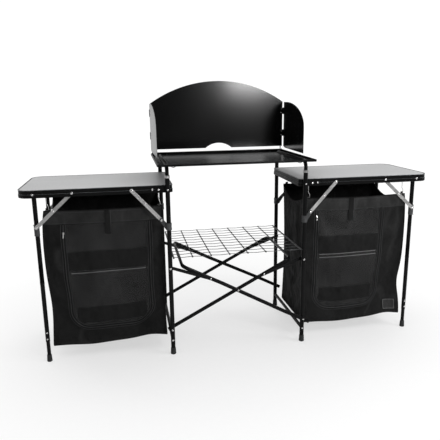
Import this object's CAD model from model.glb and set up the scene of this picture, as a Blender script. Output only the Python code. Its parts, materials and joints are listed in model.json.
"""Camp kitchen table: the looks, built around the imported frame. Metres; X right, Y away, Z up."""

import json
import math

import bmesh
import bpy
from mathutils import Matrix, Vector, noise
from mathutils.bvhtree import BVHTree
from mathutils.interpolate import poly_3d_calc


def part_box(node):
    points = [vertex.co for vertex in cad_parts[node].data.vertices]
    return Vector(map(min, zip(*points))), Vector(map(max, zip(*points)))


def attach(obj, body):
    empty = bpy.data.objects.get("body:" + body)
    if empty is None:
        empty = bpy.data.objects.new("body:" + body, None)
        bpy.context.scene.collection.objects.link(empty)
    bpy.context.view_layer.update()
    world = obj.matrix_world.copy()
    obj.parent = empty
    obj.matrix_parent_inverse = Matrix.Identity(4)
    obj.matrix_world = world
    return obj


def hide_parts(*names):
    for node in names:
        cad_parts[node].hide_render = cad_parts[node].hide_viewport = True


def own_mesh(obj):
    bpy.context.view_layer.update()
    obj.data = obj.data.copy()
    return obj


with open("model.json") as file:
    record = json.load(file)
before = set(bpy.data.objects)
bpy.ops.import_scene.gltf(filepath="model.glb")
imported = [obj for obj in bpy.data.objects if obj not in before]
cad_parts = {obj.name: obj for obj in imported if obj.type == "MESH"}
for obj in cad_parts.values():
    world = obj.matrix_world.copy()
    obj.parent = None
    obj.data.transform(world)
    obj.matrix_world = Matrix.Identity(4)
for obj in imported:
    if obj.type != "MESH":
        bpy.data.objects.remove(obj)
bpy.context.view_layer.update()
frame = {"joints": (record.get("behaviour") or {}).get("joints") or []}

SIDES = {"left": -1, "right": 1}
DEPTHS = {"front": -1, "back": 1}
X, Y, Z = Vector((1, 0, 0)), Vector((0, 1, 0)), Vector((0, 0, 1))
PIVOT = {j["name"]: Vector(j["pos_m"]) for j in frame["joints"] if "pos_m" in j}


def middle(node):
    lo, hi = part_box(node)
    return (lo + hi) / 2


# ---- sizes read from the frame ----
FOOT_R = 0.013
LEG_R = 0.010
WALL = 0.0013  # thickness of the round tubes
LEG_X = middle("right_foot_bow").x
LEG_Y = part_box("right_back_centre_leg")[1].y - FOOT_R
LEG_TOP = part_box("right_back_centre_leg")[1].z
OUTER_X = PIVOT["right_leg_fold"].x
OUTER_Y = middle("right_back_outer_leg").y
HINGE_X, HINGE_Z = PIVOT["right_table_fold"].x, PIVOT["right_table_fold"].z
RAIL_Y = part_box("right_table_frame")[1].y
RAIL_LOW, TABLE_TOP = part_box("right_table_frame")[0].z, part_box("right_table_frame")[1].z
RAIL_T = 0.0175
BAR_W = 0.016
PLATE_Z = (0.768, 0.796)  # heights of the hinge plates
SCREEN_LOW = 0.912  # lower edge of the windshield
SHELF_LIP = 0.004  # raised edge along the back of the stove shelf
SHELF_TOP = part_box("stove_shelf")[1].z - SHELF_LIP


# ---- materials ----
class Graph:
    """A Principled material whose detail comes from nodes on the object's own coordinates."""

    def __init__(self, name, metallic=0.0, **constants):
        self.material = bpy.data.materials.new(name)
        self.material.use_nodes = True
        self.tree = self.material.node_tree
        self.tree.nodes.clear()
        out = self.tree.nodes.new("ShaderNodeOutputMaterial")
        self.bsdf = self.tree.nodes.new("ShaderNodeBsdfPrincipled")
        self.tree.links.new(self.bsdf.outputs[0], out.inputs[0])
        self.bsdf.inputs["Metallic"].default_value = metallic
        for socket, value in constants.items():
            self.bsdf.inputs[socket.replace("_", " ")].default_value = value
        self.point = self.node("ShaderNodeTexCoord").outputs["Object"]

    def node(self, kind, inputs=None, **settings):
        made = self.tree.nodes.new(kind)
        for key, value in settings.items():
            setattr(made, key, value)
        for key, value in (inputs or {}).items():
            if isinstance(value, bpy.types.NodeSocket):
                self.tree.links.new(value, made.inputs[key])
            else:
                made.inputs[key].default_value = value
        return made

    def stretched(self, stretch):
        return self.node("ShaderNodeMapping", {"Vector": self.point, "Scale": stretch}).outputs[0]

    def noise(self, scale, detail=3.0, stretch=None):
        vector = self.stretched(stretch) if stretch else self.point
        inputs = {"Vector": vector, "Scale": scale, "Detail": detail}
        return self.node("ShaderNodeTexNoise", inputs).outputs["Fac"]

    def math(self, operation, a, b=0.0):
        return self.node("ShaderNodeMath", {0: a, 1: b}, operation=operation).outputs[0]

    def spread(self, value, low, high, start=0.3, stop=0.7):
        inputs = {"Value": value, "From Min": start, "From Max": stop, "To Min": low, "To Max": high}
        return self.node("ShaderNodeMapRange", inputs).outputs[0]

    def tint(self, value, dark, light):
        mix = self.node("ShaderNodeMix", data_type="RGBA")
        self.tree.links.new(value, mix.inputs[0])
        mix.inputs[6].default_value = (*dark, 1)
        mix.inputs[7].default_value = (*light, 1)
        return mix.outputs[2]

    def bump(self, height, distance, strength=1.0, under=None):
        inputs = {"Height": height, "Distance": distance, "Strength": strength}
        if under:
            inputs["Normal"] = under
        return self.node("ShaderNodeBump", inputs).outputs[0]

    def weave(self, pitch):
        """Over-and-under threads: u runs round the walls and v up them."""
        part = self.node("ShaderNodeSeparateXYZ", {0: self.point})
        turn = 2 * math.pi / pitch
        u = self.math("MULTIPLY", self.math("ADD", part.outputs[0], part.outputs[1]), turn)
        v = self.math("MULTIPLY", part.outputs[2], turn)
        return self.math("MULTIPLY", self.math("SINE", u), self.math("SINE", v))

    def set(self, **sockets):
        for name, value in sockets.items():
            self.tree.links.new(value, self.bsdf.inputs[name.replace("_", " ")])
        return self.material


def grey(value, warm=0.0):
    return (value * (1 + warm), value, value * (1 - warm))


def painted(name, dark, light, rough, metallic=0.0, peel=0.00004, **constants):
    """Powder coat or enamel: a fine orange peel, cloudy gloss and slightly uneven colour."""
    g = Graph(name, metallic, **constants)
    cloud = g.noise(9.0, 4.0)
    fine = g.noise(700.0, 2.0)
    colour = g.tint(g.spread(cloud, 0, 1), grey(dark, -0.04), grey(light, -0.04))
    gloss = g.spread(g.noise(30.0, 5.0), rough * 0.82, rough * 1.2)
    return g.set(Base_Color=colour, Roughness=gloss, Normal=g.bump(fine, peel))


def enamel(name, dark, light, rough, along, **constants):
    """Smooth stoved enamel with faint wiping streaks in its gloss."""
    g = Graph(name, 0.0, **constants)
    streaks = g.noise(5.0, 5.0, stretch=along)
    colour = g.tint(g.spread(g.noise(4.0, 2.0), 0, 1), grey(dark, -0.04), grey(light, -0.04))
    return g.set(Base_Color=colour, Roughness=g.spread(streaks, rough * 0.94, rough * 1.08))


def brushed(name, dark, light, rough):
    """Plated steel with fine scratches and a few dull patches."""
    g = Graph(name, 1.0)
    lines = g.noise(260.0, 4.0)
    patch = g.noise(45.0, 5.0)
    worn = g.math("MULTIPLY", lines, g.spread(patch, 0.8, 1.2))
    colour = g.tint(g.spread(worn, 0, 1), grey(dark), grey(light, 0.01))
    gloss = g.spread(patch, rough * 0.7, rough * 1.35)
    return g.set(Base_Color=colour, Roughness=gloss, Normal=g.bump(lines, 0.00006))


def woven(name, dark, light, pitch, depth, rough=0.85, fold=0.06, crease=0.0, **constants):
    """Woven cloth: threads as bump and as colour, cloudy wear, thin crease lines and soft folds."""
    g = Graph(name, 0.0, **constants)
    threads = g.spread(g.weave(pitch), 0, 1, -1.0, 1.0)
    wear = g.spread(g.noise(8.0, 6.0), 0, 1, 0.36, 0.66)
    both = g.math("ADD", g.math("MULTIPLY", threads, 0.3), g.math("MULTIPLY", wear, 0.6))
    line = g.math("ABSOLUTE", g.math("SUBTRACT", g.noise(2.6, 2.0, stretch=(1.0, 1.0, 0.55)), 0.5))
    both = g.math("ADD", both, g.spread(line, crease, 0, 0.0, 0.014))
    colour = g.tint(both, grey(dark), grey(light))
    folds = g.bump(g.noise(7.0, 3.0, stretch=(1.0, 1.0, 0.7)), fold)
    soft = g.bump(g.noise(60.0, 4.0), 0.0006, 0.5, folds)
    gloss = g.spread(wear, rough * 0.88, min(1.0, rough * 1.12))
    return g.set(Base_Color=colour, Roughness=gloss, Normal=g.bump(threads, depth, 1.0, soft))


def laminate_finish():
    """Fine speckled melamine with faint long smears."""
    g = Graph("laminate_grey", 0.0, Specular_IOR_Level=0.5)
    speck = g.noise(900.0, 2.0)
    smear = g.noise(6.0, 5.0, stretch=(0.6, 3.0, 1.0))
    both = g.math("ADD", g.math("MULTIPLY", speck, 0.5), g.math("MULTIPLY", smear, 0.5))
    colour = g.tint(g.spread(both, 0, 1, 0.35, 0.65), (0.32, 0.322, 0.325), (0.42, 0.422, 0.425))
    gloss = g.spread(smear, 0.38, 0.55)
    return g.set(Base_Color=colour, Roughness=gloss, Normal=g.bump(speck, 0.00005))


BLACK = dict(Specular_IOR_Level=0.07, Coat_Roughness=0.1)
TUBE = painted("tube_powder_coat", 0.003, 0.005, 0.34, Coat_Weight=0.08, **BLACK)
RAIL = painted("rail_anodised", 0.003, 0.005, 0.36, Coat_Weight=0.12, **BLACK)
EDGE = painted("rail_bare_edge", 0.14, 0.24, 0.35, 0.6)
PLASTIC = painted("collar_nylon", 0.034, 0.052, 0.5, peel=0.00008)
RUBBER = painted("foot_rubber", 0.010, 0.018, 0.62, peel=0.00015)
ENAMEL = enamel("windshield_enamel", 0.002, 0.003, 0.17, (1.0, 1.0, 0.4), Specular_IOR_Level=0.5)
SHELF = enamel("shelf_enamel", 0.004, 0.012, 0.25, (0.25, 6.0, 1.0), Specular_IOR_Level=0.03)
ZINC = brushed("plated_steel", 0.42, 0.66, 0.34)
STEEL = brushed("rivet_steel", 0.62, 0.86, 0.22)
WIRE = painted("wire_lacquer", 0.022, 0.04, 0.32, 0.5)
SOFT = dict(Specular_IOR_Level=0.18)
CANVAS = woven("cupboard_canvas", 0.003, 0.019, 0.0013, 0.00022, crease=0.7, **SOFT)
BINDING = woven("edge_binding", 0.005, 0.013, 0.0022, 0.0004, 0.8, **SOFT)
BAND = woven("net_band", 0.006, 0.014, 0.0016, 0.0003, 0.8, **SOFT)
TOP_BAND = woven("top_band_canvas", 0.014, 0.046, 0.0013, 0.0003, crease=0.3, **SOFT)
WEBBING = woven("strap_webbing", 0.006, 0.012, 0.0030, 0.0006, 0.75, **SOFT)
NET = woven("window_net", 0.018, 0.044, 0.0020, 0.0002, 0.8, crease=0.4, Alpha=0.78, **SOFT)
ZIP = painted("zip_coil", 0.012, 0.024, 0.4, peel=0.0001)
THREAD = painted("sewing_thread", 0.03, 0.05, 0.7, peel=0.0001)
PIPING = painted("door_piping", 0.024, 0.036, 0.6, peel=0.0001)
HEM = woven("pale_hem", 0.11, 0.15, 0.0016, 0.0003, 0.75)
LAMINATE = laminate_finish()


# ---- stage: camera, floor, light ----
CAMERA_AT = Vector((-0.4837, -2.3985, 1.1562))
CAMERA_TURN, CAMERA_PITCH, CAMERA_ROLL = 10.41, 13.34, -0.749  # degrees: right, down, roll
SENSOR = 36.0
FOCAL_SHARE = 1.14607  # focal length as a share of the picture's width


def make_camera():
    data = bpy.data.cameras.new("camera")
    data.sensor_width = SENSOR
    data.lens = SENSOR * FOCAL_SHARE
    camera = bpy.data.objects.new("camera", data)
    turn = Matrix.Rotation(math.radians(-CAMERA_TURN), 4, "Z")
    tilt = Matrix.Rotation(math.radians(90 - CAMERA_PITCH), 4, "X")
    roll = Matrix.Rotation(math.radians(CAMERA_ROLL), 4, "Z")
    camera.matrix_world = Matrix.Translation(CAMERA_AT) @ turn @ tilt @ roll
    bpy.context.scene.collection.objects.link(camera)
    bpy.context.scene.camera = camera


def make_world():
    """White to the camera; for light and reflections brighter behind and above than in front."""
    world = bpy.data.worlds.new("studio")
    bpy.context.scene.world = world
    world.use_nodes = True
    tree = world.node_tree
    tree.nodes.clear()
    new = tree.nodes.new
    out, show, light, mix = (
        new("ShaderNodeOutputWorld"),
        new("ShaderNodeBackground"),
        new("ShaderNodeBackground"),
        new("ShaderNodeMixShader"),
    )
    direction, part, ramp, path = (
        new("ShaderNodeTexCoord"),
        new("ShaderNodeSeparateXYZ"),
        new("ShaderNodeMapRange"),
        new("ShaderNodeLightPath"),
    )
    show.inputs[0].default_value = (1, 1, 1, 1)
    show.inputs[1].default_value = 1.05
    ramp.inputs["From Min"].default_value = -0.75
    ramp.inputs["From Max"].default_value = 0.35
    ramp.inputs["To Min"].default_value = 0.07
    ramp.inputs["To Max"].default_value = 0.9
    link = tree.links.new
    link(direction.outputs["Generated"], part.inputs[0])
    link(part.outputs[1], ramp.inputs["Value"])
    link(ramp.outputs[0], light.inputs[1])
    link(path.outputs["Is Camera Ray"], mix.inputs[0])
    link(light.outputs[0], mix.inputs[1])
    link(show.outputs[0], mix.inputs[2])
    link(mix.outputs[0], out.inputs[0])


def area_light(name, at, aim, size, power):
    data = bpy.data.lights.new(name, "AREA")
    data.shape = "RECTANGLE"
    data.size, data.size_y = size
    data.energy = power
    lamp = bpy.data.objects.new(name, data)
    lamp.location = at
    lamp.rotation_mode = "QUATERNION"
    lamp.rotation_quaternion = (Vector(aim) - Vector(at)).to_track_quat("-Z", "Y")
    bpy.context.scene.collection.objects.link(lamp)


def make_floor():
    """A pale disc that fades to the white of the backdrop away from the table."""
    g = Graph("studio_floor", 0.0, Roughness=0.6, Specular_IOR_Level=0.25)
    grain = g.noise(40.0, 3.0)
    g.set(Base_Color=g.tint(g.spread(grain, 0, 1), (0.78, 0.78, 0.785), (0.80, 0.80, 0.80)))
    glow = g.node("ShaderNodeEmission", {"Color": (1, 1, 1, 1), "Strength": 1.05})
    distance = g.node("ShaderNodeVectorMath", {0: g.point}, operation="LENGTH").outputs["Value"]
    fade = g.spread(distance, 0.56, 1, 0.7, 1.9)
    seen = g.math("MULTIPLY", fade, g.node("ShaderNodeLightPath").outputs["Is Camera Ray"])
    mix = g.node("ShaderNodeMixShader", {0: seen, 1: g.bsdf.outputs[0], 2: glow.outputs[0]})
    out = next(n for n in g.tree.nodes if n.type == "OUTPUT_MATERIAL")
    g.tree.links.new(mix.outputs[0], out.inputs[0])
    bpy.ops.mesh.primitive_circle_add(vertices=96, radius=9.0, fill_type="NGON")
    floor = bpy.context.object
    floor.name = "studio_floor"
    floor.data.materials.append(g.material)


def make_stage():
    make_camera()
    make_world()
    make_floor()
    area_light("key", (2.5, -1.5, 2.4), (0.2, 0, 0.7), (1.2, 1.2), 46)
    area_light("top", (-0.2, 0.4, 3.0), (0, 0, 0.5), (3.0, 2.0), 45)
    area_light("softbox", (0.93, -2.75, 1.56), (0.1, 0.25, 1.15), (0.5, 0.6), 24)
    area_light("side", (-2.8, -0.6, 1.6), (-0.4, 0, 0.6), (1.2, 1.8), 6)
    bpy.context.scene.view_settings.view_transform = "Standard"


# ---- mesh forms ----
def circle(radius, sides=24, squeeze=1.0):
    step = 2 * math.pi / sides
    return [(radius * math.cos(i * step), radius * squeeze * math.sin(i * step)) for i in range(sides)]


def arc(x, z, radius, start, stop, steps=8):
    """Points on an arc from start to stop, in degrees."""
    turns = [math.radians(start + (stop - start) * i / steps) for i in range(steps + 1)]
    return [(x + radius * math.cos(a), z + radius * math.sin(a)) for a in turns]


def stadium(a, b, width, steps=10):
    """The outline of a bar with round ends between two points."""
    turn = math.degrees(math.atan2(b[1] - a[1], b[0] - a[0]))
    return arc(*a, width / 2, turn + 90, turn + 270, steps) + arc(*b, width / 2, turn - 90, turn + 90, steps)


def rounded_rect(x0, x1, z0, z1, radius, steps=6):
    r = radius
    corners = ((x1 - r, z0 + r, -90), (x1 - r, z1 - r, 0), (x0 + r, z1 - r, 90), (x0 + r, z0 + r, 180))
    return [p for x, z, a in corners for p in arc(x, z, r, a, a + 90, steps)]


def area_of(outline):
    pairs = zip(outline, outline[1:] + outline[:1])
    return sum(a[0] * b[1] - b[0] * a[1] for a, b in pairs) / 2


def inset(outline, distance):
    """The outline moved in by a distance, corner by corner."""
    moved = []
    for i, p in enumerate(outline):
        before, after = Vector(outline[i - 1]), Vector(outline[(i + 1) % len(outline)])
        e1, e2 = (Vector(p) - before).normalized(), (after - Vector(p)).normalized()
        n1, n2 = Vector((-e1.y, e1.x)), Vector((-e2.y, e2.x))
        m = (n1 + n2).normalized()
        moved.append(Vector(p) + m * (distance / max(m.dot(n1), 0.4)))
    return [(p.x, p.y) for p in moved]


class Form:
    """Gathers vertices and faces, and turns them into one piece."""

    def __init__(self):
        self.verts, self.faces = [], []

    def rings(self, rings, closed=False, caps=True):
        base, n = len(self.verts), len(rings[0])
        for ring in rings:
            self.verts += [Vector(p) for p in ring]
        count = len(rings)
        for i in range(count if closed else count - 1):
            a, b = base + i * n, base + (i + 1) % count * n
            self.faces += [(a + j, a + (j + 1) % n, b + (j + 1) % n, b + j) for j in range(n)]
        if caps and not closed:
            self.faces.append(tuple(base + j for j in reversed(range(n))))
            self.faces.append(tuple(base + (count - 1) * n + j for j in range(n)))
        return self

    def sweep(self, path, section, across=None, closed=False):
        """A section along a path. Its first number lies along `across`, which stays fixed if given."""
        path = [Vector(p) for p in path]
        n, rings, side = len(path), [], None
        for i, p in enumerate(path):
            before = path[i - 1] if closed or i else path[0]
            after = path[(i + 1) % n] if closed or i < n - 1 else path[-1]
            t = (after - before).normalized()
            if across is not None:
                a = Vector(across)
            else:
                guess = side or (Z if abs(t.z) < 0.9 else X)
                a = (guess - t * guess.dot(t)).normalized()
                side = a
            b = t.cross(a).normalized()
            rings.append([p + a * u + b * v for u, v in section])
        return self.rings(rings, closed)

    def turned(self, profile, at, axis=Z, sides=28):
        """(radius, height) pairs turned about an axis through `at`."""
        axis = Vector(axis).normalized()
        a = axis.orthogonal().normalized()
        b = axis.cross(a)
        rings = []
        for radius, height in profile:
            points = circle(max(radius, 1e-7), sides)
            rings.append([Vector(at) + axis * height + a * u + b * v for u, v in points])
        return self.rings(rings)

    def layers(self, outline, levels, place):
        """An outline stacked in (inset, height) levels; place(x, z, height) gives the point."""
        if area_of(outline) < 0:
            outline = outline[::-1]
        rings = []
        for depth, height in levels:
            points = inset(outline, depth) if depth else outline
            rings.append([place(x, z, height) for x, z in points])
        return self.rings(rings)

    def plate(self, outline, y0, y1, bevel=0.0003, recess=None):
        """An outline in X and Z as a plate from y0 to y1, recessed on its y1 face if asked."""
        t = abs(y1 - y0)
        way = 1 if y1 > y0 else -1
        levels = [(bevel, 0), (0, bevel), (0, t - bevel), (bevel, t)]
        if recess:
            edge, depth = recess
            levels += [(edge, t), (edge + depth, t - depth)]
        return self.layers(outline, levels, lambda x, z, h: Vector((x, y0 + way * h, z)))

    def sheet(self, outline, z0, z1, bevel=0.0003):
        """An outline in X and Y as a plate from z0 to z1."""
        t = z1 - z0
        levels = [(bevel, 0), (0, bevel), (0, t - bevel), (bevel, t)]
        return self.layers(outline, levels, lambda x, y, h: Vector((x, y, z0 + h)))

    def rivet(self, at, way, radius=0.0048, rise=0.0022):
        """A domed rivet head on a face that looks along Y."""
        dome = [(radius * math.cos(a), rise * math.sin(a)) for a in (i * math.pi / 12 for i in range(6))]
        profile = [(0, -0.0004), (radius, -0.0004)] + dome + [(radius * 0.12, rise), (0, rise)]
        return self.turned(profile, at, Y * way, 16)

    def make(self, name, body, slot, material, replaces=(), sharp=38.0):
        mesh = bpy.data.meshes.new(name)
        mesh.from_pydata(self.verts, [], self.faces)
        bm = bmesh.new()
        bm.from_mesh(mesh)
        bmesh.ops.remove_doubles(bm, verts=bm.verts, dist=1e-6)
        bmesh.ops.dissolve_degenerate(bm, dist=1e-7, edges=bm.edges)
        bmesh.ops.recalc_face_normals(bm, faces=bm.faces)
        bm.to_mesh(mesh)
        bm.free()
        mesh.shade_smooth()
        mesh.set_sharp_from_angle(angle=math.radians(sharp))
        mesh.materials.append(material)
        obj = bpy.data.objects.new(name, mesh)
        bpy.context.scene.collection.objects.link(obj)
        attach(obj, body)
        if replaces:
            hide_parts(*replaces)
        return obj


def bend(path, radius, steps=6):
    """The path with each inner corner rounded."""
    path = [Vector(p) for p in path]
    made = [path[0]]
    for before, p, after in zip(path, path[1:], path[2:]):
        a, b = (before - p).normalized(), (after - p).normalized()
        half = a.angle(b) / 2
        reach = radius / math.tan(half)
        start, stop = p + a * reach, p + b * reach
        hub = p + (a + b).normalized() * (radius / math.sin(half))
        for i in range(steps + 1):
            turn = (start - hub).normalized().slerp((stop - hub).normalized(), i / steps)
            made.append(hub + turn * radius)
    return made + [path[-1]]


# ---- hardware ----
def centre_legs():
    for side, s in SIDES.items():
        body = f"{side}_centre_frame"
        for depth, d in DEPTHS.items():
            tag = f"{side}_{depth}"
            at = (s * LEG_X, d * LEG_Y, 0)
            bore = LEG_R - WALL
            wall = [(bore, LEG_TOP), (bore, 0.05), (0, 0.05)]
            outside = [(0, 0.028), (LEG_R, 0.028), (LEG_R, LEG_TOP - 0.0006), (LEG_R - 0.0006, LEG_TOP)]
            Form().turned(outside + wall, at).make(
                f"{tag}_centre_tube", body, "black_tube", TUBE, [f"{tag}_centre_leg"])
            foot = [(0, 0), (0.0112, 0), (0.0128, 0.0016), (0.0128, 0.008), (0.012, 0.010), (0.0124, 0.012)]
            foot += [(0.0116, 0.029), (0.0106, 0.032), (LEG_R, 0.0322)]
            Form().turned(foot, at).make(f"{tag}_centre_foot", body, "black_tube", RUBBER)
            inner = d * (LEG_Y - LEG_R)
            reach = sorted((s * (LEG_X - 0.008), s * (HINGE_X + 0.015)))
            plate = rounded_rect(*reach, *PLATE_Z, 0.006)
            Form().plate(plate, inner + d * 0.0011, inner - d * 0.0032, 0.0004).make(
                f"{tag}_hinge_plate", body, "black_tube", TUBE)
            # the arch's ferrule and its spring button
            ring = [(LEG_R, -0.006), (0.0114, -0.0055), (0.0114, 0.0045), (LEG_R, 0.006), (0.0084, 0.006)]
            Form().turned(ring, (at[0], at[1], LEG_TOP)).make(f"{tag}_ferrule", body, "silver", ZINC)
            rivets = Form()
            face = d * (LEG_Y + LEG_R - 0.0006)
            for z in (PIVOT["centre_fold"].z, 0.07) if s < 0 else (0.07,):
                rivets.rivet((at[0], face, z), d)
            rivets.rivet((at[0], face, HINGE_Z), d, 0.0042)
            rivets.rivet((at[0], face, PIVOT["left_stay_turn"].z), d)
            rivets.make(f"{tag}_leg_rivets", body, "silver", STEEL)


def centre_collars():
    """Nylon collars that carry the inner braces."""
    for side, s in SIDES.items():
        ear = PIVOT[f"{side}_inner_brace_leg_turn"]
        for depth, d in DEPTHS.items():
            tag = f"{side}_{depth}"
            body = f"{side}_centre_frame"
            at = (s * LEG_X, d * LEG_Y, 0)
            r = 0.013
            # a band with a shallow groove round its middle
            band = [(LEG_R, 0.600), (r - 0.001, 0.600), (r, 0.601), (r, 0.6115), (r - 0.0006, 0.6125)]
            band += [(r - 0.0006, 0.6195), (r, 0.6205), (r, 0.631), (r - 0.001, 0.632), (LEG_R, 0.632)]
            form = Form().turned(band, at)
            outline = [(s * (LEG_X + 0.0085), 0.602), (s * (LEG_X + 0.014), 0.602)]
            outline += arc(ear.x, ear.z, 0.009, -56 if s > 0 else 236, 115 if s > 0 else 65)
            outline.append((s * (LEG_X + 0.0085), 0.630))
            inner = d * (LEG_Y - LEG_R)
            form.plate(outline, inner + d * 0.0002, inner + d * 0.0042, 0.0005)
            form.make(f"{tag}_collar", body, "black_rail", PLASTIC, [f"{tag}_centre_collar"])
            Form().rivet((ear.x, inner + d * 0.0042, ear.z), d, 0.0055, 0.0026).make(
                f"{tag}_collar_rivet", body, "silver", STEEL)


def foot_bows_and_arches():
    for side, s in SIDES.items():
        body = f"{side}_centre_frame"
        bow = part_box(f"{side}_foot_bow")
        r = (bow[1].z - bow[0].z) / 2
        z = middle(f"{side}_foot_bow").z
        reach = bow[1].y - 0.0005
        path = [(s * LEG_X, y, z) for y in (-reach, -reach + 0.012, -reach + 0.03)]
        path += [(s * LEG_X, -y, z) for _, y, z in path[::-1]]
        Form().sweep(path, circle(r), X).make(
            f"{side}_bow_tube", body, "black_tube", TUBE, [f"{side}_foot_bow"])
        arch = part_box(f"{side}_shelf_arch")
        r = (arch[1].x - arch[0].x) / 2
        top = arch[1].z - r
        corners = [(s * LEG_X, -LEG_Y, arch[0].z), (s * LEG_X, -LEG_Y, top)]
        corners += [(s * LEG_X, LEG_Y, top), (s * LEG_X, LEG_Y, arch[0].z)]
        Form().sweep(bend(corners, 0.032, 9), circle(r), X).make(
            f"{side}_arch_tube", body, "black_tube", TUBE, [f"{side}_shelf_arch"])


def scissor_frames():
    """Two bent frames of pressed tube, pivoted together at the middle; A passes outside the legs."""
    pivot_z, cross = PIVOT["centre_fold"].z, PIVOT["scissor_cross"]
    slope = math.atan2(cross.z - pivot_z, LEG_X)
    half_tube, bend_r = 0.0045, 0.024
    # along the arm from its lower pivot: end of the wide part, start of the narrow part, cross bar
    straight, joined, length = 0.105, 0.440, 0.647
    to_cross = LEG_X / math.cos(slope)
    for name, way, tail, top_y in (("a", -1, 0.034, LEG_Y - 0.0185), ("b", 1, 0.020, LEG_Y - 0.028)):
        node = f"scissor_{name}"
        foot_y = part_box(node)[1].y - half_tube
        u = Vector((way * math.cos(slope), 0, math.sin(slope)))
        pivot = Vector((-way * LEG_X, 0, pivot_z))
        half = [pivot - u * tail - Y * foot_y]
        if name == "a":
            half += [pivot + u * straight - Y * foot_y, pivot + u * joined - Y * top_y]
        half.append(pivot + u * length - Y * top_y)
        corners = half + [Vector((p.x, -p.y, p.z)) for p in reversed(half)]
        body = f"scissor_{name}_frame"
        Form().sweep(bend(corners, bend_r, 9), circle(0.009, 28, 0.5), u.cross(Y).normalized()).make(
            f"scissor_{name}_tube", body, "black_tube", TUBE, [node])
        share = (to_cross - straight) / (joined - straight)
        cross_y = foot_y + (top_y - foot_y) * share
        rivets = Form()
        for d in DEPTHS.values():
            rivets.rivet((cross.x, d * (cross_y + half_tube - 0.0002), cross.z), d)
            if name == "a":
                rivets.rivet((pivot.x, d * (foot_y + half_tube - 0.0001), pivot.z), d)
        rivets.make(f"scissor_{name}_rivets", body, "silver", STEEL)


def stays():
    width = 0.015
    for side in SIDES:
        pin = PIVOT[f"{side}_stay_turn"]
        for depth, d in DEPTHS.items():
            node = f"{side}_{depth}_stay"
            lo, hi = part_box(node)
            tip = far_end(node, pin, width / 2)
            near, far = (lo.y, hi.y) if d > 0 else (hi.y, lo.y)
            body = f"{side}_stays"
            Form().plate(stadium((pin.x, pin.z), tip, width), near, far, 0.0005, (0.003, 0.0009)).make(
                f"{side}_{depth}_stay_link", body, "black_rail", RAIL, [node])
            Form().rivet((tip[0], far - d * 0.0006, tip[1]), d, 0.0042, 0.0018).make(
                f"{side}_{depth}_stay_rivet", body, "silver", STEEL)


def far_end(node, pin, reach):
    """Where a bar ends, given its pin at the other end and how far its round end reaches."""
    lo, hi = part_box(node)
    x = hi.x - reach if abs(hi.x - pin.x) > abs(lo.x - pin.x) else lo.x + reach
    z = hi.z - reach if abs(hi.z - pin.z) > abs(lo.z - pin.z) else lo.z + reach
    return (x, z)


# which end of each bar carries its rivet, and the head's radius and rise
BRACE_RIVETS = {
    "inner_brace_leg": ("tip", 0.0038, 0.0016),
    "inner_brace_rail": ("pin", 0.006, 0.0028),
    "outer_brace_rail": ("tip", 0.0038, 0.0012),
    "outer_brace_leg": ("pin", 0.0045, 0.0016),
}


def braces():
    """Folding two-bar braces, pressed with a long recess and riveted."""
    for side in SIDES:
        for kind, (end, radius, rise) in BRACE_RIVETS.items():
            pin = PIVOT[f"{side}_{kind}_turn"]
            body = f"{side}_{kind}_bars"
            for depth, d in DEPTHS.items():
                node = f"{side}_{depth}_{kind}_bar"
                lo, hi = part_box(node)
                tip = far_end(node, pin, BAR_W / 2)
                near, far = (lo.y, hi.y) if d > 0 else (hi.y, lo.y)
                bar = stadium((pin.x, pin.z), tip, BAR_W)
                Form().plate(bar, near, far, 0.00035, (0.0042, 0.0006)).make(
                    f"{side}_{depth}_{kind}_link", body, "silver", ZINC, [node])
                x, z = (pin.x, pin.z) if end == "pin" else tip
                Form().rivet((x, far, z), d, radius, rise).make(
                    f"{side}_{depth}_{kind}_rivet", body, "silver", STEEL)


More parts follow.
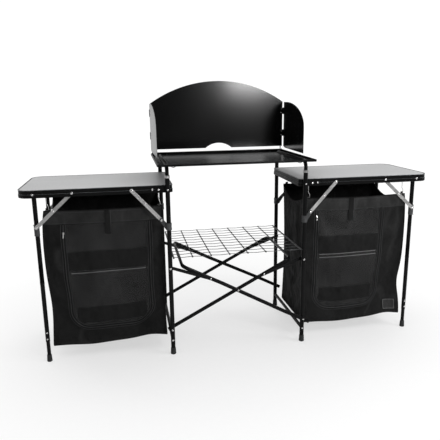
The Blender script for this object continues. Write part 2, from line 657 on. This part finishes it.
def outer_legs():
    for side, s in SIDES.items():
        for depth, d in DEPTHS.items():
            tag = f"{side}_{depth}"
            at = (s * OUTER_X, d * OUTER_Y, 0)
            lo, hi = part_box(f"{tag}_outer_leg")
            r = (hi.x - lo.x) / 2
            bore, swell = r - WALL, r + 0.0004
            tube = [(bore, lo.z), (r - 0.0004, lo.z), (swell, lo.z + 0.003), (swell, lo.z + 0.012)]
            tube += [(r, lo.z + 0.014), (r, hi.z - 0.0008), (r - 0.0008, hi.z), (bore, hi.z), (bore, lo.z)]
            body = f"{side}_outer_legs"
            Form().turned(tube, at).make(
                f"{tag}_leg_tube", body, "black_tube", TUBE, [f"{tag}_outer_leg"])
            lo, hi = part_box(f"{tag}_outer_collar")
            bore, r = r + 0.0001, (hi.y - lo.y) / 2
            band = [(bore, lo.z), (r - 0.001, lo.z), (r, lo.z + 0.001)]
            band += [(r, hi.z - 0.001), (r - 0.001, hi.z), (bore, hi.z)]
            collar = Form().turned(band, at)
            reach = hi.x if s > 0 else lo.x
            span = sorted((at[0] + s * (r - 0.0021), reach))
            lug = rounded_rect(*span, lo.z + 0.002, hi.z - 0.002, 0.004)
            collar.plate(lug, at[1] + d * 0.007, at[1] - d * 0.007, 0.0012)
            collar.make(f"{tag}_leg_collar", body, "black_rail", PLASTIC, [f"{tag}_outer_collar"])
            lo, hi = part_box(f"{tag}_leg_extension")
            body = f"{side}_leg_extensions"
            stem = [(0, 0.02), (0.0083, 0.02), (0.0083, 0.094), (0.0095, 0.098)]
            stem += [(0.0095, hi.z - 0.001), (0.0085, hi.z)]
            Form().turned(stem, at).make(
                f"{tag}_stem", body, "black_tube", TUBE, [f"{tag}_leg_extension"])
            foot = [(0, 0), (0.0104, 0), (0.0119, 0.0014), (0.0119, 0.006), (0.0112, 0.008), (0.0116, 0.010)]
            foot += [(0.0104, 0.030), (0.0094, 0.033), (0.0083, 0.0332)]
            Form().turned(foot, at).make(f"{tag}_stem_foot", body, "black_tube", RUBBER)
            buttons = Form()
            for z in (0.112, 0.142):
                buttons.rivet((at[0], d * (OUTER_Y + 0.0090), z), d, 0.0040, 0.0018)
            buttons.make(f"{tag}_stem_buttons", body, "silver", STEEL)


# ---- worktops ----
def table_path(s, margin):
    """The table's plan outline, with wide outer corners and tighter inner ones."""
    lo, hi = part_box("right_table_frame")
    x0, x1, y = lo.x + margin, hi.x - margin, hi.y - margin
    outer, inner = 0.050 - margin, 0.018 - margin
    points = arc(x1 - outer, -y + outer, outer, -90, 0) + arc(x1 - outer, y - outer, outer, 0, 90)
    points += arc(x0 + inner, y - inner, inner, 90, 180) + arc(x0 + inner, -y + inner, inner, 180, 270)
    points = [(s * x, y) for x, y in points]
    return points if s > 0 else points[::-1]


def tables():
    height = TABLE_TOP - RAIL_LOW
    ledge = 0.0016  # how far the rail steps back above its thick lower half
    # the rail's section, as (height under the top, depth behind the face)
    section = [(-height, -RAIL_T), (-height, -0.0012), (-height + 0.0012, 0), (-height * 0.56, 0)]
    section += [(-height * 0.54, -0.0004), (-height * 0.53, -ledge), (-0.004, -ledge), (-0.0025, -0.0006)]
    section += [(-0.0011, -0.0001), (-0.0003, -0.0006), (0, -0.0016), (0, -0.0050), (-0.0004, -0.0064)]
    section += [(-0.0052, -0.0064), (-0.0052, -RAIL_T)]
    batten = [(-0.0014, -0.011), (0.0014, -0.011), (0.0014, 0.011), (-0.0014, 0.011)]
    for side, s in SIDES.items():
        body = f"{side}_table"
        path = [(x, y, TABLE_TOP) for x, y in table_path(s, 0)]
        Form().sweep(path, section[::-1], Z, closed=True).make(
            f"{side}_rails", body, "black_rail", RAIL, [f"{side}_table_frame"], 30)
        # bare metal along the lip and along the ledge below it
        lip = [(-0.0018, -0.0004), (-0.0012, 0.0002), (0.0002, -0.0010)]
        lip += [(0.0002, -0.0026), (-0.0010, -0.0026)]
        step = [(-height * 0.565, -0.0004), (-height * 0.555, 0.0002), (-height * 0.53, -0.0010)]
        bare = Form().sweep(path, lip[::-1], Z, closed=True)
        bare.sweep(path, step[::-1], Z, closed=True)
        bare.make(f"{side}_rail_edges", body, "black_rail", EDGE)
        lo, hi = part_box(f"{side}_table_top")
        Form().sheet(table_path(s, 0.0066), lo.z, hi.z, 0.0004).make(
            f"{side}_worktop", body, "laminate", LAMINATE, [f"{side}_table_top"])
        # cross rails under the panel, between the long rails
        cross = Form()
        for x in (0.50, 0.74):
            path = [(s * x, y, lo.z - 0.0016) for y in (-RAIL_Y + RAIL_T, RAIL_Y - RAIL_T)]
            cross.sweep(path, batten, Z)
        cross.make(f"{side}_cross_rails", body, "black_rail", RAIL)
        rivets = Form()
        for d in DEPTHS.values():
            face = d * (RAIL_Y - 0.0002)
            for x, r in ((OUTER_X, 0.005), (abs(PIVOT[f"{side}_outer_brace_rail_turn"].x), 0.0056)):
                rivets.rivet((s * x, face, HINGE_Z), d, r, 0.0024)
            rivets.rivet((s * (HINGE_X + 0.027), face, HINGE_Z + 0.001), d, 0.0045, 0.0022)
            rivets.rivet((s * HINGE_X, d * (LEG_Y - LEG_R + 0.0011), HINGE_Z), d, 0.005, 0.0024)
        rivets.make(f"{side}_table_rivets", body, "silver", STEEL)
        for depth, d in DEPTHS.items():
            bracket = Form()
            near = d * (RAIL_Y - RAIL_T - 0.0003)
            span = sorted((s * (OUTER_X - 0.018), s * (OUTER_X + 0.014)))
            outline = rounded_rect(*span, PLATE_Z[0], 0.7935, 0.005)
            bracket.plate(outline, near, near - d * 0.0016, 0.0004)
            bracket.make(f"{side}_{depth}_leg_bracket", body, "black_rail", RAIL)


# ---- stove shelf and windshield ----
def stove_shelf():
    """A folded sheet with rounded edges, a raised lip along its back and wire clips under it."""
    lo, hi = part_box("stove_shelf")
    corner, top = 0.014, SHELF_TOP

    def ring(margin, z):
        sides = (lo.x + margin, hi.x - margin, lo.y + margin, hi.y - margin)
        return [Vector((x, y, z)) for x, y in rounded_rect(*sides, max(corner - margin, 0.004), 8)]

    rings = [ring(0.0012, lo.z), ring(0.0002, lo.z), ring(0, lo.z + 0.0006), ring(0, top - 0.0022)]
    rings += [ring(0.0005, top - 0.0009), ring(0.0018, top), ring(0.004, top)]
    inner = [ring(0.004, top - 0.0012), ring(0.0026, top - 0.0022), ring(0.0014, top - 0.004), ring(0.0012, lo.z)]
    Form().rings(rings + inner).make("shelf_sheet", "stove_stand", "gloss_black", SHELF, ["stove_shelf"], 50)
    lip = rounded_rect(hi.y - 0.008, hi.y, top - 0.001, hi.z, 0.002)
    ends = (lo.x + 0.006, lo.x + 0.007, hi.x - 0.007, hi.x - 0.006)
    rolled = [[Vector((x, y, z)) for y, z in (inset(lip, 0.001) if x in ends[::3] else lip)] for x in ends]
    Form().rings(rolled).make("shelf_lip", "stove_stand", "gloss_black", ENAMEL)
    clips = Form()
    clip = ((-0.008, 0.006), (-0.008, -0.006), (0.002, -0.0095), (0.010, -0.006))
    for s in SIDES.values():
        for d in DEPTHS.values():
            at = Vector((s * (LEG_X - 0.030), d * LEG_Y, lo.z + 0.002))
            clips.sweep(bend([at + X * s * t + Z * h for t, h in clip], 0.003, 4), circle(0.0014, 10))
    clips.make("shelf_clips", "stove_stand", "wire", WIRE)


def windshield_outline():
    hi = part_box("windshield_back")[1]
    x, low, side_top, top = 0.350, SCREEN_LOW, 1.146, hi.z
    notch, rise = 0.070, 0.026
    feet = (0.338, 0.343, SHELF_TOP + SHELF_LIP + 0.0003)
    points = [(-x, low), (-feet[1], low), (-feet[1], feet[2]), (-feet[0], feet[2]), (-feet[0], low)]
    radius = (notch * notch + rise * rise) / (2 * rise)
    end = math.degrees(math.asin(1 - rise / radius))
    points += arc(0, low + rise - radius, radius, 180 - end, end, 16)
    points += [(feet[0], low), (feet[0], feet[2]), (feet[1], feet[2]), (feet[1], low), (x, low)]
    # the top is one long arc through both shoulders
    rise = top - side_top
    radius = (x * x + rise * rise) / (2 * rise)
    spread = math.degrees(math.asin(x / radius))
    crown = arc(0, top - radius, radius, 90 - spread, 90 + spread, 40)
    return points, crown


def windshield():
    points, crown = windshield_outline()
    near, far = 0.2510, 0.2525  # the sheet's front and back faces
    form = Form().plate(points + crown, far, near, 0.0004)
    hinges = Form()
    knuckle = [(0, 0), (0.0024, 0), (0.0027, 0.0004), (0.0027, 0.0356), (0.0024, 0.036), (0, 0.036)]
    for side, s in SIDES.items():
        axis = PIVOT[f"{side}_wing_fold"]
        for z in (0.965, 1.080):
            hinges.turned(knuckle, (axis.x, axis.y, z), Z, 18)
            leaf = rounded_rect(*sorted((s * 0.336, s * 0.3555)), z + 0.002, z + 0.034, 0.003)
            hinges.plate(leaf, near - 0.0001, near - 0.0011, 0.0003)
    form.make("windshield_sheet", "stove_stand", "gloss_black", ENAMEL, ["windshield_back"])
    hinges.make("windshield_hinges", "stove_stand", "gloss_black", RAIL)
    rivets = Form()
    for s in SIDES.values():
        for z in (0.973, 0.993, 1.088, 1.108):
            rivets.rivet((s * 0.343, near - 0.0010, z), -1, 0.0022, 0.001)
    rivets.make("windshield_rivets", "stove_stand", "silver", STEEL)


def wings():
    """Side wings, each turned in a little about its hinges."""
    turned_in, half = math.radians(1.5), 0.00075
    for side, s in SIDES.items():
        node = f"windshield_{side}_wing"
        axis = PIVOT[f"{side}_wing_fold"]
        low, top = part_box(node)[0].z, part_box(node)[1].z
        back, front, rounding = axis.y - 0.004, -0.100, 0.115
        shoulder = back - 0.050
        outline = [(front, low), (back - 0.030, low), (back, SCREEN_LOW), (back, top)]
        # the top falls away from the hinge and rounds into the front edge
        for i in range(25):
            t = i / 24 * math.pi / 2
            outline.append((shoulder - (shoulder - front) * math.sin(t), top - rounding * (1 - math.cos(t))))
        turn = Matrix.Rotation(-s * turned_in, 3, "Z")
        levels = [(0.0004, -half), (0, 0.0004 - half), (0, half - 0.0004), (0.0004, half)]

        def place(y, z, h):
            return Vector((axis.x, axis.y, z)) + turn @ Vector((h, y - axis.y, 0))

        Form().layers(outline, levels, place).make(
            f"{side}_wing_sheet", f"{side}_wing", "gloss_black", ENAMEL, [node])


def wire_shelf():
    """Round wires across, looped round rods from front to back."""
    lo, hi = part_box("wire_shelf")
    rods, wires = 8, 11
    rod_r, end_rod_r, wire_r = 0.0024, 0.0038, 0.0014
    z = (lo.z + hi.z) / 2
    body = "left_centre_frame"
    form = Form()
    xs = [lo.x + 0.005 + i * (hi.x - lo.x - 0.010) / (rods - 1) for i in range(rods)]
    ys = [lo.y + 0.005 + j * (hi.y - lo.y - 0.010) / (wires - 1) for j in range(wires)]
    for i, x in enumerate(xs):
        r = end_rod_r if i in (0, rods - 1) else rod_r
        path = [(x, y, z) for y in (lo.y + 0.001, lo.y + 0.01, 0, hi.y - 0.01, hi.y - 0.001)]
        form.sweep(path, circle(r, 12), Z)
    made = [form.make("shelf_rods", body, "wire", WIRE, ["wire_shelf"])]
    links = Form()
    for y in ys:
        for a, b in zip(xs, xs[1:]):
            r = rod_r + wire_r
            path = [(a - r * 0.6, y, z - r * 0.7), (a - r * 0.4, y, z + r), (a + r, y, z + r * 0.5)]
            path += [((a + b) / 2, y, z - 0.0002), (b - r, y, z + r * 0.5)]
            path += [(b + r * 0.4, y, z + r), (b + r * 0.6, y, z - r * 0.7)]
            links.sweep(path, circle(wire_r, 8), Y)
    made.append(links.make("shelf_wires", body, "wire", WIRE))
    for piece in made:
        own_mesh(piece)


# ---- fabric cupboards ----
CELL = 0.0125  # grid of the panels
CLOTH = 0.0012  # thickness of the cloth
DOOR_CORNER = 0.085  # radius of the door's lower corners


class Bag:
    """A fabric box, open at the top: flat panels, and where each of their points comes to hang."""

    # measured from the box's left edge and floor
    DOORS = {"left": (0.088, 0.470, 0.082, 0.570), "right": (0.056, 0.398, 0.072, 0.584)}
    SEAM = 0.574  # the lower edge of the doubled top band
    # how far the outer side is drawn in low down, and over what share of the height
    PINCH = {"left": (0.013, 0.22), "right": (0.020, 0.14)}

    def __init__(self, side, s):
        self.side, self.s = side, s
        self.lo, self.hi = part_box(f"{side}_cupboard")
        left, right, low, top = self.DOORS[side]
        self.door = (self.lo.x + left, self.lo.x + right, self.lo.z + low, self.lo.z + top)
        self.build_panels()
        self.hung = [self.hang(p) for p in self.flat]
        self.settle()
        self.tree = BVHTree.FromPolygons(self.flat, self.faces)

    def build_panels(self):
        """Four walls and a floor on one grid; the door's faces are listed apart."""
        lo, hi = self.lo, self.hi
        nx, ny, nz = (round(size / CELL) for size in hi - lo)
        xs = [lo.x + (hi.x - lo.x) * i / nx for i in range(nx + 1)]
        ys = [lo.y + (hi.y - lo.y) * i / ny for i in range(ny + 1)]
        zs = [lo.z + (hi.z - lo.z) * i / nz for i in range(nz + 1)]
        around = [(x, lo.y) for x in xs] + [(hi.x, y) for y in ys[1:]]
        around += [(x, hi.y) for x in reversed(xs[:-1])] + [(lo.x, y) for y in reversed(ys[1:-1])]
        n = len(around)
        self.flat = [Vector((x, y, z)) for z in zs for x, y in around]
        self.faces, self.opening = [], set()
        for k in range(nz):
            for i in range(n):
                j = (i + 1) % n
                if i < nx and self.in_door((xs[i] + xs[i + 1]) / 2, (zs[k] + zs[k + 1]) / 2):
                    self.opening.add(len(self.faces))
                self.faces.append((k * n + i, k * n + j, (k + 1) * n + j, (k + 1) * n + i))
        index = {at: i for i, at in enumerate(around)}
        for x in xs:
            for y in ys:
                if (x, y) not in index:
                    index[x, y] = len(self.flat)
                    self.flat.append(Vector((x, y, lo.z)))
        for a, b in zip(xs, xs[1:]):
            for c, d in zip(ys, ys[1:]):
                self.faces.append((index[a, c], index[a, d], index[b, d], index[b, c]))

    def in_door(self, x, z, corner=DOOR_CORNER):
        left, right, low, top = self.door
        if not (left < x < right and low < z < top):
            return False
        out = max(left + corner - x, x - right + corner, 0)
        down = max(low + corner - z, 0)
        return math.hypot(out, down) < corner

    def shares(self, p):
        """Place in the box: 0 to 1 across and up, -1 to 1 in depth."""
        lo, hi = self.lo, self.hi
        return (p.x - lo.x) / (hi.x - lo.x), p.y / hi.y, (p.z - lo.z) / (hi.z - lo.z)

    def hang(self, p):
        """Drawn in low on the outer side, low rims at the sides, a wavy hem, folds from the corners."""
        u, w, v = self.shares(p)
        outer = u if self.s > 0 else 1 - u
        waist = math.sin(math.pi * min(max(v, 0), 1)) ** 0.8
        across = 2 * u - 1
        on_side, on_front = min(1.0, abs(across) ** 4), min(1.0, abs(w) ** 4)
        pinch, spread = self.PINCH[self.side]
        drawn = 0.003 * waist + pinch * math.exp(-((v - 0.28) / spread) ** 2) + 0.006 * (1 - v) ** 3
        x = -self.s * outer ** 3 * (drawn + 0.018 * v ** 8)
        x += self.s * (1 - outer) ** 3 * 0.007 * waist
        y = -math.copysign(0.009, w) * waist * on_front
        z = -0.034 * math.cos(w * math.pi / 2) * on_side * v ** 3
        z -= 0.005 * math.sin(math.pi * u) * on_front * v ** 4
        z += 0.016 * on_front * max(w, 0) * v ** 5
        wave = -0.007 * math.exp(-((u - 0.35) / 0.16) ** 2)
        wave += 0.014 * math.exp(-((u - 0.86) / 0.14) ** 2)
        z += wave * (1 - v) ** 3 * (0.5 - 0.5 * w)
        seed = Vector((7.0 * self.s, 3.0, 1.0))
        slow = noise.noise(Vector((p.x * 5, p.y * 5, p.z * 4)) + seed)
        fine = noise.noise(Vector((p.x * 17, p.y * 17, p.z * 9)) - seed)
        crease = 0.0
        for corner_u in (0, 1):
            for corner_v in (0, 1):
                run, rise = abs(u - corner_u), abs(v - corner_v) * 1.2
                reach = math.hypot(run, rise)
                fan = math.sin(9 * math.atan2(rise, run + 1e-6) + 2.0 * slow + corner_u * 1.7)
                crease += fan * reach * math.exp(-reach / 0.2) * 0.055
        swell = 0.009 * slow + 0.005 * fine + crease
        if on_front > 0.99:
            edge = min(1.0, 4 * min(u + 0.02, 1.02 - u))
        else:
            edge = min(1.0, 3 * (1.02 - abs(w)))
        hem = min(1.0, 6 * v + 0.1)
        y += math.copysign(1, w) * swell * on_front * edge * hem
        x += math.copysign(1, across) * swell * on_side * edge * hem
        return p + Vector((x, y, z))

    def settle(self):
        """Let the panels relax between their bound edges."""
        mesh = bpy.data.meshes.new("settling")
        mesh.from_pydata(self.hung, [], self.faces)
        cloth_body = bpy.data.objects.new("settling", mesh)
        bpy.context.scene.collection.objects.link(cloth_body)
        pins = cloth_body.vertex_groups.new(name="bound")
        for i, p in enumerate(self.flat):
            u, w, v = self.shares(p)
            corner = min(u, 1 - u) < 0.01 and abs(w) > 0.99
            rim = abs(w) > 0.99 and v > 0.99
            if corner or rim or v < 0.01:
                pins.add([i], 1.0, "REPLACE")
        cloth = cloth_body.modifiers.new("cloth", "CLOTH")
        cloth.settings.quality = 6
        cloth.settings.mass = 0.25
        cloth.settings.tension_stiffness = 18
        cloth.settings.compression_stiffness = 18
        cloth.settings.shear_stiffness = 6
        cloth.settings.bending_stiffness = 0.35
        cloth.settings.shrink_min = -0.004
        cloth.settings.vertex_group_mass = pins.name
        cloth.collision_settings.use_collision = False
        cloth.collision_settings.use_self_collision = False
        frames, furthest = 24, 0.016
        cloth.point_cache.frame_start, cloth.point_cache.frame_end = 1, frames
        scene = bpy.context.scene
        for step in range(1, frames + 1):
            scene.frame_set(step)
        settled = cloth_body.evaluated_get(bpy.context.evaluated_depsgraph_get()).data
        for i, vertex in enumerate(settled.vertices):
            moved = vertex.co - self.hung[i]
            if moved.length > furthest:
                moved *= furthest / moved.length
            self.hung[i] = self.hung[i] + moved
        bpy.data.objects.remove(cloth_body)
        bpy.data.meshes.remove(mesh)
        scene.frame_set(1)

    def move(self, p):
        """Carry a point near the flat panels to where the cloth hangs."""
        spot, _, face, _ = self.tree.find_nearest(p)
        corners = self.faces[face]
        weights = poly_3d_calc([self.flat[i] for i in corners], spot)
        shift = Vector()
        for i, weight in zip(corners, weights):
            shift += (self.hung[i] - self.flat[i]) * weight
        return p + shift

    def make(self, form, name, slot, material, replaces=(), hung=False, sharp=60):
        """A piece drawn on the flat panels and carried to the hung cloth, unless it hangs already."""
        if not hung:
            form.verts = [self.move(p) for p in form.verts]
        body = f"{self.side}_centre_frame"
        piece = form.make(f"{self.side}_{name}", body, slot, material, replaces, sharp)
        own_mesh(piece)
        return piece

    def cloth(self, chosen):
        """Some of the panels' faces, given the thickness of the cloth."""
        faces = [f for i, f in enumerate(self.faces) if i in chosen]
        used = sorted({i for f in faces for i in f})
        place = {i: k for k, i in enumerate(used)}
        bm = bmesh.new()
        corners = [bm.verts.new(self.hung[i]) for i in used]
        for f in faces:
            bm.faces.new([corners[place[i]] for i in f])
        bmesh.ops.recalc_face_normals(bm, faces=bm.faces)
        bmesh.ops.solidify(bm, geom=bm.faces, thickness=CLOTH)
        bm.verts.index_update()
        form = Form()
        form.verts = [v.co.copy() for v in bm.verts]
        form.faces = [tuple(v.index for v in f.verts) for f in bm.faces]
        bm.free()
        return form


def along(path, step=CELL):
    """The path with points no further apart than a step."""
    path = [Vector(p) for p in path]
    made = [path[0]]
    for a, b in zip(path, path[1:]):
        count = max(1, math.ceil((b - a).length / step))
        made += [a.lerp(b, i / count) for i in range(1, count + 1)]
    return made


def ribbon(form, path, y, width, thick):
    """A tape lying on the front panel along a path in X and Z."""
    section = rounded_rect(-thick / 2, thick / 2, -width / 2, width / 2, thick * 0.45, 2)
    return form.sweep(along([(x, y, z) for x, z in path]), section, Y)


def patch(form, x0, x1, z0, z1, y, thick=0.001):
    """A flat piece of cloth on the front panel."""
    nx, nz = max(1, round((x1 - x0) / CELL)), max(1, round((z1 - z0) / CELL))
    zs = [z0 + (z1 - z0) * k / nz for k in range(nz + 1)]
    rings = []
    for i in range(nx + 1):
        x = x0 + (x1 - x0) * i / nx
        rings.append([(x, y - thick, z) for z in zs] + [(x, y, z) for z in reversed(zs)])
    return form.rings(rings)


def door_path(bag, grow=0.0, corner=DOOR_CORNER):
    """The zip's line: down the left side, round the bottom and up the right side."""
    left, right, low, top = bag.door
    left, right, low, corner = left - grow, right + grow, low - grow, corner + grow
    path = [(left, top)] + arc(left + corner, low + corner, corner, 180, 270, 8)
    return path + arc(right - corner, low + corner, corner, 270, 360, 8) + [(right, top)]


def cupboard_shell(bag):
    everything = set(range(len(bag.faces)))
    node = f"{bag.side}_cupboard"
    bag.make(bag.cloth(everything - bag.opening), "cupboard_canvas", "fabric", CANVAS, [node], True)
    bag.make(bag.cloth(bag.opening), "cupboard_net", "fabric", NET, (), True)
    # bound rim and bound upright edges
    lo, hi = bag.lo, bag.hi
    form = Form()
    corners = [(lo.x, lo.y), (hi.x, lo.y), (hi.x, hi.y), (lo.x, hi.y), (lo.x, lo.y)]
    form.sweep(along([(x, y, hi.z) for x, y in corners])[:-1], circle(0.0026, 10), Z, True)
    for x, y in corners[:4]:
        form.sweep(along([(x, y, lo.z + 0.004), (x, y, hi.z - 0.001)]), circle(0.0021, 8))
    bag.make(form, "cupboard_binding", "fabric", BINDING)


def cupboard_door(bag):
    front = bag.lo.y
    form = Form()
    ribbon(form, door_path(bag), front - 0.0008, 0.026, 0.0009)
    bag.make(form, "door_tape", "fabric", BINDING)
    line = along([(x, front - 0.0018, z) for x, z in door_path(bag)], 0.006)
    bag.make(Form().sweep(line, circle(0.0019, 8), Y), "door_zip", "fabric", ZIP)
    piping = Form()
    for grow in (-0.0105, 0.0105):
        ribbon(piping, door_path(bag, grow), front - 0.0014, 0.0018, 0.0009)
    bag.make(piping, "door_piping", "fabric", PIPING)
    # slider and pull tab at the upper end
    left, _, _, top = bag.door
    x, z = left + 0.001, top - 0.042
    runner = rounded_rect(x - 0.004, x + 0.004, z, z + 0.010, 0.002, 4)
    slider = Form().plate(runner, front - 0.003, front - 0.006, 0.0007)
    tab = stadium((x, z + 0.004), (x - 0.001, z - 0.013), 0.0052)
    slider.plate(tab, front - 0.0062, front - 0.0078, 0.0004)
    bag.make(slider, "zip_pull", "silver", STEEL if bag.s > 0 else ZINC)


def cupboard_inside(bag):
    """The sewn-in shelf, with its pale front hem just behind the net."""
    lo, hi, front = bag.lo, bag.hi, bag.lo.y
    left, right, _, _ = bag.door
    z = lo.z + 0.347
    rings = []
    width = hi.x - lo.x - 0.012
    count, rows = round(width / CELL), 12
    depths = [front + 0.010 + (hi.y - front - 0.016) * k / rows for k in range(rows + 1)]
    for i in range(count + 1):
        x = lo.x + 0.006 + width * i / count
        sag = 0.010 * math.sin(math.pi * i / count)
        droop = [sag * math.sin(math.pi * k / rows) ** 0.5 for k in range(rows + 1)]
        over = [(x, y, z - d) for y, d in zip(depths, droop)]
        rings.append(over + [(x, y, z - d - 0.003) for y, d in zip(reversed(depths), reversed(droop))])
    bag.make(Form().rings(rings), "inner_shelf", "fabric", CANVAS)
    hems = Form()
    lines = (z + 0.006, z - 0.010) if bag.s > 0 else (z - 0.002,)
    for height in lines:
        hem = [(left + 0.022, height), (right - 0.022, height + 0.004)]
        ribbon(hems, hem, front - 0.0012, 0.0042, 0.0012)
    bag.make(hems, "shelf_hem", "fabric", HEM)
    bands = Form()
    patch(bands, left + 0.012, right - 0.012, z + 0.012, z + 0.098, front - 0.0006, 0.0005)
    patch(bands, left + 0.030, right - 0.030, lo.z + 0.108, lo.z + 0.180, front - 0.0006, 0.0005)
    bag.make(bands, "net_bands", "fabric", BAND)


def cupboard_trim(bag):
    """The doubled band at the top, its strap, the ears and their wire hooks."""
    lo, hi, front, s = bag.lo, bag.hi, bag.lo.y, bag.s
    seam = lo.z + bag.SEAM
    band = patch(Form(), lo.x + 0.004, hi.x - 0.004, seam, hi.z - 0.001, front - 0.0008)
    bag.make(band, "top_band", "fabric", TOP_BAND)
    stitches = Form()
    for z in (seam + 0.004, hi.z - 0.008):
        ribbon(stitches, [(lo.x + 0.006, z), (hi.x - 0.006, z)], front - 0.002, 0.0008, 0.0006)
    bag.make(stitches, "band_stitching", "fabric", THREAD)
    middle_x = lo.x + (0.285 if s < 0 else 0.232)
    strap = Form()
    ribbon(strap, [(middle_x, hi.z + 0.001), (middle_x, hi.z - 0.112)], front - 0.0036, 0.026, 0.0016)
    bag.make(strap, "strap", "fabric", WEBBING)
    edges = Form()
    edge_x = middle_x + 0.0125
    ribbon(edges, [(edge_x, hi.z - 0.002), (edge_x, hi.z - 0.100)], front - 0.0046, 0.0022, 0.001)
    bag.make(edges, "strap_edge", "fabric", PIPING)
    ears, hooks = Form(), Form()
    for x in (lo.x + 0.016, hi.x - 0.016):
        for y in (lo.y + 0.002, hi.y - 0.002):
            ear = [(x - 0.014, hi.z - 0.014), (x + 0.014, hi.z - 0.014)]
            ear += [(x + 0.005, hi.z + 0.012), (x - 0.005, hi.z + 0.012)]
            ears.plate(ear, y - 0.0012, y + 0.0012, 0.0004)
            up = RAIL_LOW + 0.006
            wire = [(x - 0.004, y, hi.z + 0.004), (x + 0.007, y, hi.z + 0.004), (x + 0.007, y, hi.z + 0.020)]
            wire += [(x, y, hi.z + 0.030), (x, y, up - 0.014)]
            wire += [(x - s * 0.008, y, up), (x - s * 0.015, y, up - 0.010)]
            hooks.sweep(bend(wire, 0.004, 4), circle(0.0014, 8))
    bag.make(ears, "hook_ears", "fabric", BINDING)
    bag.make(hooks, "wire_hooks", "silver", STEEL)
    if s > 0:
        x0, x1, z0, z1 = hi.x - 0.088, hi.x - 0.028, lo.z + 0.026, lo.z + 0.076
        bag.make(patch(Form(), x0, x1, z0, z1, front - 0.001), "blank_patch", "fabric", TOP_BAND)
        frame_line = Form()
        box_line = [(x0, z0), (x1, z0), (x1, z1), (x0, z1), (x0, z0)]
        for a, b in zip(box_line, box_line[1:]):
            ribbon(frame_line, [a, b], front - 0.0026, 0.0026, 0.001)
        bag.make(frame_line, "patch_border", "fabric", HEM)


def cupboards():
    for side, s in SIDES.items():
        bag = Bag(side, s)
        cupboard_shell(bag)
        cupboard_door(bag)
        cupboard_inside(bag)
        cupboard_trim(bag)


make_stage()
centre_legs()
centre_collars()
foot_bows_and_arches()
scissor_frames()
stays()
braces()
outer_legs()
tables()
stove_shelf()
windshield()
wings()
wire_shelf()
cupboards()
